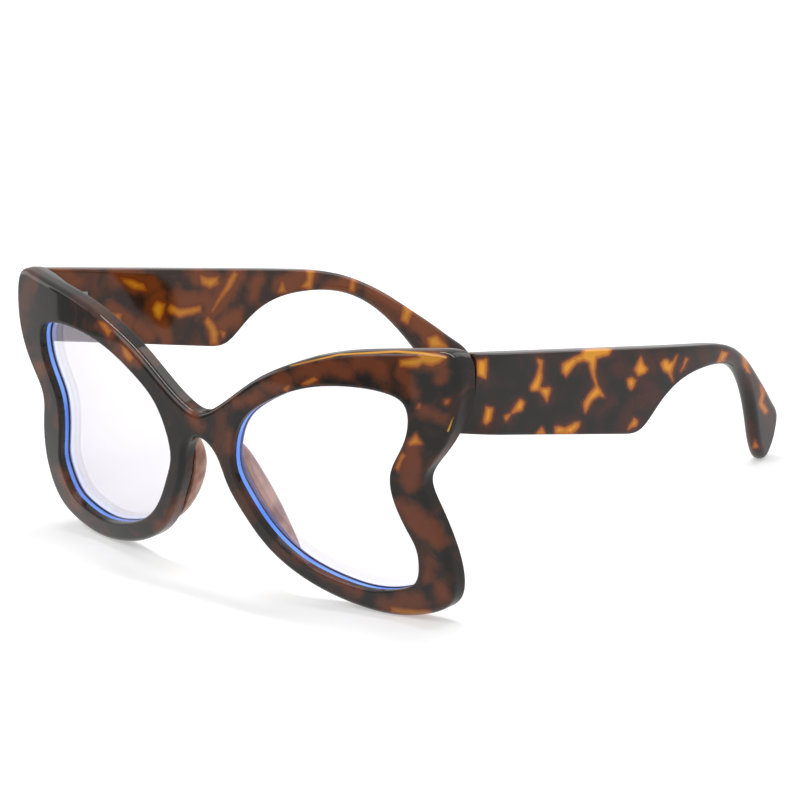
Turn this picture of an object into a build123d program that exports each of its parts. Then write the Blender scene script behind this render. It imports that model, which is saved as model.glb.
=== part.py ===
from build123d import *
from math import cos, radians, sin, sqrt, tan
import os

# Butterfly glasses in a moulded tortoiseshell frame, standing open on their lower rims and temple tips.
# Millimetres. +X is the wearer's left, the front faces -Y, the temples run to +Y, and z = 0 is the floor.

# Front
FRONT_WIDTH = 143.8
FRONT_HEIGHT = 61.9
BRIDGE_SHARE = 0.5784
FACE_SWEEP_RADIUS = 280.0
FACE_PROFILE_RADIUS = 150.0
RIM_THICKNESS = 4.0
FRONT_EDGE_ROUND = 1.2
REAR_EDGE_ROUND = 0.9

# End pieces
JOINT_SETBACK = 16.6
JOINT_DROP = 10.1
JOINT_OVERHANG = 0.2
JOINT_LEAN = 14.0
JOINT_SLANT = 12.5
JOINT_EDGE_ROUND = 0.8
SHOULDER_REACH = 14.0
SHOULDER_LENGTH = 13.0
SHOULDER_SLANT = 14.5
FOOT_DROP = 14.5
FOOT_REACH = 6.5
FOOT_SLOPE = 40.0

# Lenses
LENS_THICKNESS = 1.8
LENS_SETBACK = 1.0
LENS_BITE = 0.7
LENS_CLEARANCE = 0.05

# Nose pads
PAD_LENGTH = 27.0
PAD_WIDTH = 5.4
PAD_DEPTH = 5.6
PAD_EDGE_ROUND = 2.0
PAD_SPREAD = 13.2
PAD_DROP = 13.95
PAD_LEAN = 29.4
PAD_BOW = 0.9

# Temples
TEMPLE_LENGTH = 128.0
TEMPLE_TOP = 8.5
TEMPLE_DROP = 30.6
TEMPLE_THICKNESS = 4.0
TEMPLE_TOE_IN = 2.5
TEMPLE_END_GAP = 0.15
TIP_BEND_START = 62.0
TIP_BEND_RADIUS = 111.0
TIP_BEND_ANGLE = 15.4
TIP_BEND_LEAN = 56.5

# Hinges
HINGE_INSET = 2.0
BARREL_RADIUS = 1.6
BARREL_HEIGHT = 2.7
BARREL_GAP = 0.1
BARREL_STANDOFF = 0.3
LEAF_THICKNESS = 0.9
LEAF_CLEARANCE = 0.05
LEAF_HEIGHT = 6.0
LEAF_LENGTH = 12.0
TONGUE_DEPTH = 3.4
STUD_RADIUS = 0.9
STUD_DEPTH = 1.2
STUD_SPACING = 6.0
SCREW_RADIUS = 0.7
SCREW_CLEARANCE = 0.04
SCREW_HEAD_RADIUS = 1.35
SCREW_HEAD_HEIGHT = 0.7
SCREW_SLOT_WIDTH = 0.3
SCREW_SLOT_DEPTH = 0.3

# Every cut runs this far past the surface that it opens.
OVERRUN = 20.0

# A long closed outline is drawn as this many spans.
WING_SPAN_COUNT = 18
OPENING_SPAN_COUNT = 8

# The wing's edge from under the bridge round to its top, as shares of half the width and of the height.
WING_SHARES = [
    (0.000, 0.559), (0.060, 0.522), (0.097, 0.417), (0.153, 0.297), (0.228, 0.184), (0.333, 0.095),
    (0.451, 0.039), (0.567, 0.008), (0.680, 0.000), (0.795, 0.024), (0.888, 0.084), (0.921, 0.195),
    (0.912, 0.326), (0.882, 0.444), (0.864, 0.538), (0.912, 0.625), (0.976, 0.745), (0.999, 0.884),
    (0.976, 0.986), (0.893, 0.998), (0.765, 0.985), (0.630, 0.966), (0.503, 0.934), (0.387, 0.889),
    (0.273, 0.829), (0.164, 0.749), (0.067, 0.680), (0.000, 0.656),
]

# The lens opening from its nasal side down and round, as shares of half the width and of the height.
OPENING_SHARES = [
    (0.147, 0.457), (0.177, 0.383), (0.241, 0.273), (0.345, 0.171), (0.473, 0.115), (0.608, 0.092),
    (0.725, 0.114), (0.784, 0.150), (0.809, 0.216), (0.811, 0.292), (0.793, 0.347), (0.776, 0.396),
    (0.755, 0.461), (0.754, 0.554), (0.797, 0.645), (0.828, 0.733), (0.819, 0.805), (0.751, 0.840),
    (0.648, 0.847), (0.527, 0.835), (0.403, 0.798), (0.289, 0.737), (0.198, 0.659), (0.154, 0.562),
]

# The temple's straight edges and the curve that joins them round the hook, the heel, the tip and the step,
# as shares of its length from the joint and of its drop from the top edge.
UPPER_EDGE_SHARES = [(-0.080, 0.000), (0.611, 0.000)]
LOWER_EDGE_SHARES = [(0.392, 0.623), (-0.080, 0.550)]
HOOK_SHARES = [
    (0.700, 0.020), (0.764, 0.086), (0.818, 0.185), (0.869, 0.303), (0.919, 0.424), (0.961, 0.533),
    (0.990, 0.625), (1.000, 0.745), (1.000, 0.868), (0.983, 1.000), (0.932, 0.900), (0.888, 0.685),
    (0.844, 0.464), (0.793, 0.295), (0.739, 0.195), (0.683, 0.162), (0.628, 0.172), (0.577, 0.212),
    (0.532, 0.288), (0.497, 0.394), (0.470, 0.508), (0.440, 0.605),
]

HALF_WIDTH = FRONT_WIDTH / 2
BRIDGE_LEVEL = BRIDGE_SHARE * FRONT_HEIGHT
JOINT_SPREAD = HALF_WIDTH + JOINT_OVERHANG
JOINT_LEVEL = FRONT_HEIGHT - JOINT_DROP
FOOT_LEVEL = JOINT_LEVEL - FOOT_DROP
TIP_REACH = TEMPLE_LENGTH * cos(radians(JOINT_LEAN)) - TEMPLE_DROP * sin(radians(JOINT_LEAN)) / 2
FRONT_Y = -(JOINT_SETBACK + TIP_REACH) / 2
HINGE_X = -(TEMPLE_THICKNESS + HINGE_INSET)
BARREL_PITCH = BARREL_HEIGHT + BARREL_GAP
HINGE_HEIGHT = BARREL_HEIGHT + 2 * BARREL_PITCH

# The left joint's own frame: its origin is the outer corner where end piece and temple meet, +X points out
# of the temple's outer face, +Y runs along the temple and +Z up across it. The hinge's screw stands upright.
JOINT_CORNER = Pos(JOINT_SPREAD, FRONT_Y + JOINT_SETBACK, JOINT_LEVEL)
JOINT = JOINT_CORNER * Rot(-JOINT_LEAN, 0, 0) * Rot(0, 0, TEMPLE_TOE_IN)


def joint_line(x):
    """How far along the temple the slanted joint lies, in the joint's frame."""
    return x * tan(radians(JOINT_SLANT))


HINGE_REACH = BARREL_RADIUS + BARREL_STANDOFF + HINGE_HEIGHT / 2 * sin(radians(JOINT_LEAN))
HINGE_Y = joint_line(HINGE_X) + HINGE_REACH / cos(radians(JOINT_SLANT))


def dome_line(x, level):
    """How far back the domed face lies at a distance from the middle and a level above the floor."""
    fall = FACE_PROFILE_RADIUS - sqrt(FACE_PROFILE_RADIUS ** 2 - (level - BRIDGE_LEVEL) ** 2)
    radius = FACE_SWEEP_RADIUS - fall
    return FRONT_Y + FACE_SWEEP_RADIUS - sqrt(radius ** 2 - x ** 2)


def on_side(shape, side):
    """A left-hand shape, or its mirror image on the right."""
    return shape if side > 0 else mirror(shape, about=Plane.YZ)


def smooth_loop(points, spans):
    """A smooth closed outline through points, as a number of spans that join without a corner."""
    whole = Spline(points, periodic=True)
    along = [whole.tangent_at(whole.param_at_point(Vector(x, z))) for x, z in points]
    count = len(points)
    edges = []
    for span in range(spans):
        first = span * count // spans
        last = (span + 1) * count // spans
        chosen = [points[index % count] for index in range(first, last + 1)]
        edges.append(Spline(chosen, tangents=[along[first], along[last % count]]))
    return make_face(edges)


def across_depth(face):
    """An outline in X and Z as a solid that runs through the whole depth of the front."""
    solid = extrude(Plane.XZ * face, amount=JOINT_SETBACK + 2 * OVERRUN, dir=(0, 1, 0))
    return Pos(0, FRONT_Y - OVERRUN, 0) * solid


def domed_body(inset):
    """Everything behind the domed face, or behind the same surface moved back by an inset."""
    radius = FACE_PROFILE_RADIUS - inset
    hub = FACE_SWEEP_RADIUS - FACE_PROFILE_RADIUS
    rise = FRONT_HEIGHT
    width = hub + sqrt(radius ** 2 - rise ** 2)
    arc = ThreePointArc((width, -rise), (hub + radius, 0), (width, rise))
    sides = Polyline((width, rise), (0, rise), (0, -rise), (width, -rise))
    profile = Plane.XZ * make_face([arc, sides])
    return Pos(0, FRONT_Y + FACE_SWEEP_RADIUS, BRIDGE_LEVEL) * revolve(profile, axis=Axis.Z)


def wing_outline():
    """Outline of the whole front: one wing's edge and its mirror image."""
    edge = [(x * HALF_WIDTH, z * FRONT_HEIGHT) for x, z in WING_SHARES]
    other_edge = [(-x, z) for x, z in reversed(edge[1:-1])]
    return smooth_loop(edge + other_edge, WING_SPAN_COUNT)


def opening_outline(margin):
    """The left lens opening, moved outwards all round by a margin."""
    points = [(x * HALF_WIDTH, z * FRONT_HEIGHT) for x, z in OPENING_SHARES]
    edge = Spline(points, periodic=True)
    moved = []
    for x, z in points:
        along = edge.tangent_at(edge.param_at_point(Vector(x, z)))
        moved.append((x + margin * along.Y, z - margin * along.X))
    return smooth_loop(moved, OPENING_SPAN_COUNT)


def lens_blank(margin, front, back):
    """The opening's outline, moved outwards by a margin, between two insets behind the domed face."""
    return across_depth(opening_outline(margin)) & (domed_body(front) - domed_body(back))


def end_piece_zone():
    """The left end piece's space: joint plane behind, sloped shoulder inside, top level with the temple."""
    corner_x = -SHOULDER_REACH
    corner_y = joint_line(corner_x)
    slant = radians(JOINT_SLANT + SHOULDER_SLANT)
    shoulder_x = corner_x - SHOULDER_LENGTH * cos(slant)
    shoulder_y = corner_y - SHOULDER_LENGTH * sin(slant)
    plan = make_face(Polyline(
        (corner_x, corner_y),
        (shoulder_x, shoulder_y),
        (shoulder_x, -JOINT_SETBACK),
        (OVERRUN, -JOINT_SETBACK),
        (OVERRUN, joint_line(OVERRUN)),
        close=True,
    ))
    block = JOINT * Pos(0, 0, TEMPLE_TOP - FRONT_HEIGHT) * extrude(plan, amount=FRONT_HEIGHT)
    foot_y = dome_line(HALF_WIDTH - FOOT_REACH, FOOT_LEVEL) + RIM_THICKNESS
    foot_rise = JOINT_SETBACK / tan(radians(FOOT_SLOPE))
    side_view = make_face(Polyline(
        (FRONT_Y, FOOT_LEVEL),
        (foot_y, FOOT_LEVEL),
        (foot_y + JOINT_SETBACK, FOOT_LEVEL + foot_rise),
        (foot_y + JOINT_SETBACK, FOOT_LEVEL + foot_rise + FRONT_HEIGHT),
        (FRONT_Y, FOOT_LEVEL + foot_rise + FRONT_HEIGHT),
        close=True,
    ))
    return block & extrude(Plane.YZ * side_view, amount=HALF_WIDTH + OVERRUN)


def front_body():
    """The moulded front with rounded edges: a rim of even thickness and a deeper end piece on each side."""
    blank = across_depth(wing_outline()) & domed_body(0)
    domed_face = blank.faces().filter_by(GeomType.REVOLUTION)[0]
    blank = fillet(domed_face.edges(), FRONT_EDGE_ROUND)
    rim = blank - domed_body(RIM_THICKNESS)
    rear_face = rim.faces().filter_by(GeomType.REVOLUTION).sort_by(Axis.Y)[-1]
    front = fillet(rear_face.edges(), REAR_EDGE_ROUND)
    for side in (1, -1):
        end_piece = blank & on_side(end_piece_zone(), side)
        joint_face = end_piece.faces().filter_by(GeomType.PLANE).sort_by(Axis.Y)[-1]
        front += fillet(joint_face.edges(), JOINT_EDGE_ROUND)
    return front


def hinge_place():
    """The left hinge's own frame, with its origin in the middle of the barrels and +Z up along the screw."""
    middle = (JOINT * Pos(HINGE_X, HINGE_Y, 0)).position
    return Pos(middle.X, middle.Y, middle.Z) * Rot(0, 0, TEMPLE_TOE_IN)


def front_hinge():
    """Two barrels on one root that is sunk in the end piece, above and below the temple's barrel."""
    bore = SCREW_RADIUS + SCREW_CLEARANCE
    width = 2 * bore + LEAF_THICKNESS
    reach = HINGE_REACH + TONGUE_DEPTH
    leaf = Pos(0, LEAF_THICKNESS - reach, 0) * Box(width, 2 * LEAF_THICKNESS, HINGE_HEIGHT)
    for level in (-BARREL_PITCH, BARREL_PITCH):
        leaf += Pos(0, -reach / 2, level) * Box(width, reach, BARREL_HEIGHT)
        leaf += Pos(0, 0, level) * Cylinder(BARREL_RADIUS, BARREL_HEIGHT)
    leaf = Rot(0, 0, JOINT_SLANT) * leaf - Cylinder(bore, HINGE_HEIGHT + OVERRUN)
    return hinge_place() * leaf


def front_hinge_pocket():
    """The pocket in the end piece for the front leaf's root."""
    width = 2 * (SCREW_RADIUS + SCREW_CLEARANCE) + LEAF_THICKNESS + 2 * LEAF_CLEARANCE
    depth = HINGE_REACH + TONGUE_DEPTH
    pocket = Pos(0, -depth / 2, 0) * Box(width, depth, HINGE_HEIGHT + 2 * LEAF_CLEARANCE)
    return hinge_place() * Rot(0, 0, JOINT_SLANT) * pocket


def leaf_middle():
    """How far along the temple the middle of its hinge leaf lies."""
    return HINGE_Y + LEAF_LENGTH / 2 - BARREL_RADIUS


def stud_places():
    middle = leaf_middle() + BARREL_RADIUS
    return [middle - STUD_SPACING / 2, middle + STUD_SPACING / 2]


def temple_hinge():
    """One barrel on an arm, on a plate that lies in the temple's inner face and is held by two studs."""
    bore = SCREW_RADIUS + SCREW_CLEARANCE
    plate_x = LEAF_THICKNESS / 2 - TEMPLE_THICKNESS
    leaf = Pos(plate_x, leaf_middle(), 0) * Box(LEAF_THICKNESS, LEAF_LENGTH, LEAF_HEIGHT)
    for y in stud_places():
        stud = Rot(0, 90, 0) * Cylinder(STUD_RADIUS, STUD_DEPTH)
        leaf += Pos(LEAF_THICKNESS - TEMPLE_THICKNESS + STUD_DEPTH / 2, y, 0) * stud
    arm_width = plate_x - HINGE_X
    arm = Pos(arm_width / 2, 0, 0) * Box(arm_width, 2 * bore, BARREL_HEIGHT)
    barrel = Cylinder(BARREL_RADIUS, BARREL_HEIGHT) + arm
    return JOINT * leaf + hinge_place() * barrel - hinge_place() * Cylinder(bore, HINGE_HEIGHT + OVERRUN)


def temple_hinge_pocket():
    """The recess and the stud holes in the temple's inner face."""
    depth = LEAF_THICKNESS + OVERRUN
    length = LEAF_LENGTH + 2 * LEAF_CLEARANCE
    middle_x = LEAF_THICKNESS - TEMPLE_THICKNESS - depth / 2
    pocket = Pos(middle_x, leaf_middle(), 0) * Box(depth, length, LEAF_HEIGHT + 2 * LEAF_CLEARANCE)
    for y in stud_places():
        hole = Rot(0, 90, 0) * Cylinder(STUD_RADIUS + LEAF_CLEARANCE, STUD_DEPTH)
        pocket += Pos(LEAF_THICKNESS - TEMPLE_THICKNESS + STUD_DEPTH / 2, y, 0) * hole
    return JOINT * pocket


def hinge_screw():
    """The screw down the barrels, with a slotted head on the upper one."""
    shank = Cylinder(SCREW_RADIUS, HINGE_HEIGHT)
    head_level = HINGE_HEIGHT / 2 + SCREW_HEAD_HEIGHT / 2
    head = Pos(0, 0, head_level) * Cylinder(SCREW_HEAD_RADIUS, SCREW_HEAD_HEIGHT)
    slot_level = HINGE_HEIGHT / 2 + SCREW_HEAD_HEIGHT - SCREW_SLOT_DEPTH / 2
    slot = Pos(0, 0, slot_level) * Box(2 * SCREW_HEAD_RADIUS, SCREW_SLOT_WIDTH, SCREW_SLOT_DEPTH)
    return hinge_place() * (shank + head - slot)


def nose_pad():
    """A moulded pad that stands on the rear face of the rim beside the nose, bowed as the rim is."""
    end = (PAD_LENGTH - PAD_WIDTH) / 2
    middle_line = ThreePointArc((0, -end), (-PAD_BOW, 0), (0, end))
    place = Pos(PAD_SPREAD, BRIDGE_LEVEL - PAD_DROP) * Rot(0, 0, PAD_LEAN)
    outline = place * SlotArc(middle_line, PAD_WIDTH)
    depth = dome_line(PAD_SPREAD, BRIDGE_LEVEL - PAD_DROP) + RIM_THICKNESS + PAD_DEPTH - FRONT_Y
    pad = Pos(0, FRONT_Y, 0) * extrude(Plane.XZ * outline, amount=depth, dir=(0, 1, 0))
    rear_face = pad.faces().sort_by(Axis.Y)[-1]
    return fillet(rear_face.edges(), PAD_EDGE_ROUND) & domed_body(RIM_THICKNESS)


def temple_outline():
    """The temple's side outline, in the joint's frame along and across the temple."""
    def place(shares):
        return [(y * TEMPLE_LENGTH, TEMPLE_TOP - drop * TEMPLE_DROP) for y, drop in shares]

    upper = place(UPPER_EDGE_SHARES)
    lower = place(LOWER_EDGE_SHARES)
    leave = (Vector(upper[1]) - Vector(upper[0])).normalized()
    arrive = (Vector(lower[1]) - Vector(lower[0])).normalized()
    curve = Spline([upper[1]] + place(HOOK_SHARES) + [lower[0]], tangents=[leave, arrive])
    return make_face([Line(upper[0], upper[1]), curve, Line(lower[0], lower[1]), Line(lower[1], upper[0])])


def bend_side(inset, run):
    """One side of the bent slab: flat, an arc, and flat again, as (distance, inward) points."""
    turn = radians(TIP_BEND_ANGLE)
    radius = TIP_BEND_RADIUS - inset
    arc = [(radius * sin(a), inset + radius * (1 - cos(a))) for a in (0, turn / 2, turn)]
    end = (arc[2][0] + run * cos(turn), arc[2][1] + run * sin(turn))
    return (-run, inset), arc, end


def bent_slab():
    """A slab of the temple's thickness, flat, then bent inwards round a leaning line, then flat again."""
    outer_start, outer_arc, outer_end = bend_side(0, TEMPLE_LENGTH)
    inner_start, inner_arc, inner_end = bend_side(TEMPLE_THICKNESS, TEMPLE_LENGTH)
    profile = make_face([
        Line(outer_start, outer_arc[0]),
        ThreePointArc(*outer_arc),
        Line(outer_arc[2], outer_end),
        Line(outer_end, inner_end),
        Line(inner_end, inner_arc[2]),
        ThreePointArc(*inner_arc),
        Line(inner_arc[0], inner_start),
        Line(inner_start, outer_start),
    ])
    lean = radians(TIP_BEND_LEAN)
    bend_plane = Plane(
        origin=(0, TIP_BEND_START, TEMPLE_TOP),
        x_dir=(0, sin(lean), -cos(lean)),
        z_dir=(0, cos(lean), sin(lean)),
    )
    return extrude(bend_plane * profile, amount=2 * TEMPLE_LENGTH, both=True)


def temple():
    """The temple's blade, neck and hook, with the recess for its hinge leaf."""
    blank = Pos(-TEMPLE_LENGTH / 2, 0, 0) * extrude(Plane.YZ * temple_outline(), amount=TEMPLE_LENGTH)
    blade = blank & bent_slab()
    front_end = make_face(Polyline(
        (-TEMPLE_LENGTH, joint_line(-TEMPLE_LENGTH) + TEMPLE_END_GAP),
        (TEMPLE_LENGTH, joint_line(TEMPLE_LENGTH) + TEMPLE_END_GAP),
        (TEMPLE_LENGTH, -TEMPLE_LENGTH),
        (-TEMPLE_LENGTH, -TEMPLE_LENGTH),
        close=True,
    ))
    blade -= Pos(0, 0, -TEMPLE_LENGTH / 2) * extrude(front_end, amount=TEMPLE_LENGTH)
    return JOINT * blade - temple_hinge_pocket()


def front_frame():
    """The front with its lens openings, lens grooves and hinge pockets cut."""
    front = front_body()
    groove_back = LENS_SETBACK + LENS_THICKNESS + 2 * LENS_CLEARANCE
    for side in (1, -1):
        front -= on_side(across_depth(opening_outline(0)), side)
        front -= on_side(lens_blank(LENS_BITE, LENS_SETBACK, groove_back), side)
        front -= on_side(front_hinge_pocket(), side)
    return front


def lens():
    lens_front = LENS_SETBACK + LENS_CLEARANCE
    return lens_blank(LENS_BITE - LENS_CLEARANCE, lens_front, lens_front + LENS_THICKNESS)


def write(name, shape):
    shape.label = name
    export_step(shape, f"parts/{name}.step")


PAIRS = {
    "lens": lens,
    "nose_pad": nose_pad,
    "front_hinge": front_hinge,
    "hinge_screw": hinge_screw,
    "temple": temple,
    "temple_hinge": temple_hinge,
}

os.makedirs("parts", exist_ok=True)
write("front_frame", front_frame())
for pair_name, make in PAIRS.items():
    piece = make()
    write(f"{pair_name}_left", on_side(piece, 1))
    write(f"{pair_name}_right", on_side(piece, -1))
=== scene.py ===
from math import cos, pi, radians, sin, tan

import bmesh
import bpy
import numpy as np
from mathutils import Matrix, Vector


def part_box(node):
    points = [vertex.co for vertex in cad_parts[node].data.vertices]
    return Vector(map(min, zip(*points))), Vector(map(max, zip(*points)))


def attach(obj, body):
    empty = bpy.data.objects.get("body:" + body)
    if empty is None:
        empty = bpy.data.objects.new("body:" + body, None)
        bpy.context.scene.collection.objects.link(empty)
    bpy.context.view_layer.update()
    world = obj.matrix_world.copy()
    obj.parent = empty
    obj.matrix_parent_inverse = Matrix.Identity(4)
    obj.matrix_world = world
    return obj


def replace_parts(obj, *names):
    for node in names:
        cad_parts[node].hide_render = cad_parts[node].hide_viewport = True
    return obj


# Butterfly glasses in polished tortoiseshell plastic. The frame gives metres; shapes here are worked out in
# millimetres and scaled once, when a mesh is made. x is the wearer's left, the front faces -y, z is up.
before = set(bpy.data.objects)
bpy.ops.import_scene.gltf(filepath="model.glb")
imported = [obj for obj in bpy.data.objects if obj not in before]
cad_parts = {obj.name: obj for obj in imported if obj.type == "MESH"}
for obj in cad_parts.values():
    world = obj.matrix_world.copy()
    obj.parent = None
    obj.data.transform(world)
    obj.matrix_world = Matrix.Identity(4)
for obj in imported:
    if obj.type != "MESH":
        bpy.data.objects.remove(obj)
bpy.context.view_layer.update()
MM = 0.001

# Front
HALF_WIDTH = 71.9
FRONT_HEIGHT = 61.9
FRONT_SIZE = np.array([HALF_WIDTH, FRONT_HEIGHT])
BRIDGE_LEVEL = 35.8
FRONT_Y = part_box("front_frame")[0][1] / MM
FACE_SWEEP_RADIUS = 280.0
FACE_PROFILE_RADIUS = 150.0
RIM_THICKNESS = 4.0
FRONT_EDGE_ROUND = 1.3
REAR_EDGE_ROUND = 0.35
LIP_ROUND = 0.6
REAR_LIP_ROUND = 0.8

# Joint between end piece and temple
JOINT_SETBACK = 16.6
JOINT_LEVEL = FRONT_HEIGHT - 10.1
JOINT_SPREAD = HALF_WIDTH + 0.2
JOINT_LEAN = 14.0
JOINT_SLANT = 12.5
JOINT_ADVANCE = 1.2

# End piece: its shoulder and foot, and how widely its faces run into each other
SHOULDER_REACH = 14.0
SHOULDER_SLANT = 14.5
FOOT_LEVEL = JOINT_LEVEL - 14.5
FOOT_REACH = 6.5
FOOT_SLOPE = 40.0
END_PIECE_BLEND = 1.4

# The end piece's sloping top: how far back it starts, and the levels and spreads over which it sets in
ROOF_START = 3.0
ROOF_LEVELS = (46.0, 58.0)
ROOF_SPREADS = (30.0, 55.0)

# The end piece's flared side: how far out it goes, and the stretches over which it sets in and fades out
FLARE = 1.6
FLARE_LENGTH = 6.0
FLARE_SPREADS = (60.0, 67.0)
FLARE_FOOT_LEVELS = (37.0, 43.0)
FLARE_TOP_LEVELS = (50.0, 58.0)

# Lenses
LENS_THICKNESS = 1.5
LENS_SETBACK = 1.6
LENS_BITE = 0.3
LENS_CLEARANCE = 0.05
LENS_EDGE_ROWS = 8
LENS_EDGE_FACING = 0.5

# Nose pads: the levels of their ends, their size, how full their outline is, and how soon they rise
PAD_TOP_LEVEL = 35.0
PAD_FOOT_LEVEL = 9.6
PAD_WIDTH = 5.4
PAD_DEPTH = 5.4
PAD_FULLNESS = 2.4
PAD_RISE = 0.7

# Temples
TEMPLE_LENGTH = 128.0
TEMPLE_TOP = 8.5
TEMPLE_DROP = 30.6
TEMPLE_THICKNESS = 4.0
TEMPLE_TOE_IN = 2.5
TEMPLE_EDGE_ROUND = 0.6
HOOK_EDGE_ROUND = 1.9
HOOK_ROUND_START = 72.0
HOOK_ROUND_END = 104.0
TEMPLE_END_GAP = 0.04
TEMPLE_END_ROUND = 0.1

# How far a temple's outer face is drawn in at the joint, at its top and foot, and over what length
END_TAPER_TOP = 1.0
END_TAPER_FOOT = 3.3
END_TAPER_REACH = 10.0

# The temple tip's bend inwards, past a line that leans
TIP_BEND_START = 62.0
TIP_BEND_RADIUS = 111.0
TIP_BEND_ANGLE = 15.4
TIP_BEND_LEAN = 56.5

# Hinge leaves let into the temples
HINGE_INSET = 2.0
BARREL_RADIUS = 1.6
HINGE_REACH = 2.9
LEAF_THICKNESS = 0.9
LEAF_HEIGHT = 6.0
LEAF_LENGTH = 12.0
LEAF_CLEARANCE = 0.05

# The wing's edge from under the bridge round to its top, as shares of half the width and of the height.
WING_SHARES = [
    (0.000, 0.559), (0.060, 0.522), (0.097, 0.417), (0.153, 0.297), (0.228, 0.184), (0.333, 0.095),
    (0.451, 0.039), (0.567, 0.008), (0.680, 0.000), (0.795, 0.024), (0.888, 0.084), (0.921, 0.195),
    (0.912, 0.326), (0.882, 0.444), (0.864, 0.538), (0.912, 0.625), (0.976, 0.745), (0.999, 0.884),
    (0.976, 0.986), (0.893, 0.998), (0.765, 0.985), (0.630, 0.966), (0.503, 0.934), (0.387, 0.889),
    (0.273, 0.829), (0.164, 0.749), (0.067, 0.680), (0.000, 0.656),
]

# The lens opening from its nasal side down and round, as shares of half the width and of the height.
OPENING_SHARES = [
    (0.147, 0.457), (0.177, 0.383), (0.241, 0.273), (0.345, 0.171), (0.473, 0.115), (0.608, 0.092),
    (0.725, 0.114), (0.784, 0.150), (0.809, 0.216), (0.811, 0.292), (0.793, 0.347), (0.776, 0.396),
    (0.759, 0.461), (0.758, 0.554), (0.799, 0.645), (0.828, 0.733), (0.819, 0.805), (0.751, 0.840),
    (0.648, 0.847), (0.527, 0.835), (0.403, 0.798), (0.289, 0.737), (0.198, 0.659), (0.154, 0.562),
]

# The point inside the lens opening that the rim's section lines point at, in the same shares, and the
# shares below which the wing's and the opening's nasal sides lie.
LENS_MIDDLE_SHARES = (0.530, 0.517)
WING_NASAL_SHARES = (0.40, 0.56)
OPENING_NASAL_SHARES = (0.50, 0.60)

# The temple's outline as shares of its length and of its drop: its straight edges, and the curve between
# them round the hook, the heel, the tip and the step.
UPPER_EDGE_SHARES = [(0.000, 0.000), (0.611, 0.000)]
LOWER_EDGE_SHARES = [(0.392, 0.623), (0.000, 0.562)]
HOOK_SHARES = [
    (0.700, 0.020), (0.764, 0.086), (0.820, 0.185), (0.872, 0.303), (0.923, 0.424), (0.966, 0.533),
    (0.996, 0.625), (1.006, 0.745), (1.006, 0.868), (0.988, 1.000), (0.938, 0.900), (0.893, 0.685),
    (0.844, 0.464), (0.793, 0.295), (0.739, 0.195), (0.683, 0.162), (0.628, 0.172), (0.577, 0.212),
    (0.532, 0.288), (0.497, 0.394), (0.470, 0.508), (0.440, 0.605),
]

# Where the temple's sections run: a point on its upper edge and the point below it, in the same shares.
SECTION_SHARES = [
    ((0.000, 0.000), (0.000, 0.562)), ((0.392, 0.000), (0.392, 0.623)), ((0.450, 0.000), (0.440, 0.605)),
    ((0.500, 0.000), (0.470, 0.508)), ((0.560, 0.000), (0.532, 0.288)), ((0.640, 0.004), (0.628, 0.172)),
    ((0.720, 0.035), (0.700, 0.167)), ((0.780, 0.108), (0.752, 0.212)), ((0.830, 0.212), (0.790, 0.290)),
    ((0.875, 0.317), (0.825, 0.395)), ((0.919, 0.424), (0.855, 0.515)), ((0.961, 0.533), (0.880, 0.645)),
    ((0.996, 0.625), (0.905, 0.750)), ((1.006, 0.745), (0.928, 0.860)), ((1.007, 0.868), (0.954, 0.948)),
    ((0.988, 1.000), (0.988, 1.000)),
]

# The photograph's view, fitted to the outlines: angles in degrees, the eye in millimetres from the point of
# the floor under the bridge's front, the focal length in pixels of its 800 x 800 frame.
VIEW_AZIMUTH = 45.973
VIEW_ELEVATION = 17.181
VIEW_ROLL = -4.883
VIEW_EYE = (580.8, -498.2, 275.8)
VIEW_FOCAL_PX = 3625.751
VIEW_MIDDLE_PX = 400.0
SENSOR_WIDTH = 36.0

# The pattern in photograph pixels: flecks as the corners of patches, and red-brown clouds and thin painted
# highlights along edges as strokes of (across, down, half width).
OUTER_FLECKS_PX = [
    [(477, 360), (487, 359), (487, 369), (486, 379), (477, 375)],
    [(486, 406), (493, 408), (491, 421), (486, 425), (483, 423)],
    [(520, 399), (525, 402), (522, 410), (511, 414), (506, 421), (504, 416), (511, 413), (516, 404)],
    [(537, 359), (543, 360), (542, 378), (540, 388), (548, 387), (551, 389), (547, 402), (540, 391),
     (531, 391), (530, 387), (536, 376), (539, 366)],
    [(562, 364), (572, 358), (581, 354), (584, 347), (614, 346), (609, 355), (597, 358), (595, 371),
     (597, 384), (605, 397), (599, 396), (593, 400), (585, 413), (583, 404), (589, 394), (596, 386),
     (592, 376), (589, 363), (583, 361), (577, 363), (570, 371), (566, 377), (562, 372)],
    [(555, 427), (559, 426), (565, 428), (575, 422), (580, 422), (579, 427), (572, 434), (555, 434)],
    [(542, 427), (545, 434), (536, 434)],
    [(641, 356), (643, 362), (648, 369), (646, 373), (638, 376), (634, 369), (638, 362)],
    [(627, 379), (632, 377), (636, 381), (634, 386), (631, 390), (628, 386)],
    [(661, 364), (664, 359), (668, 360), (670, 362), (673, 361), (677, 355), (674, 366), (672, 373),
     (673, 382), (669, 375), (663, 370)],
    [(686, 358), (688, 359), (684, 368), (681, 371)], [(722, 351), (728, 353), (724, 361), (717, 363)],
    [(742, 355), (747, 360), (750, 373), (747, 372), (743, 365)],
    [(634, 418), (638, 421), (636, 426), (628, 430), (630, 424)], [(755, 440), (758, 447), (753, 448)],
    [(760, 384), (765, 392), (763, 402), (768, 411), (765, 414), (759, 405), (761, 394)],
]
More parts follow.
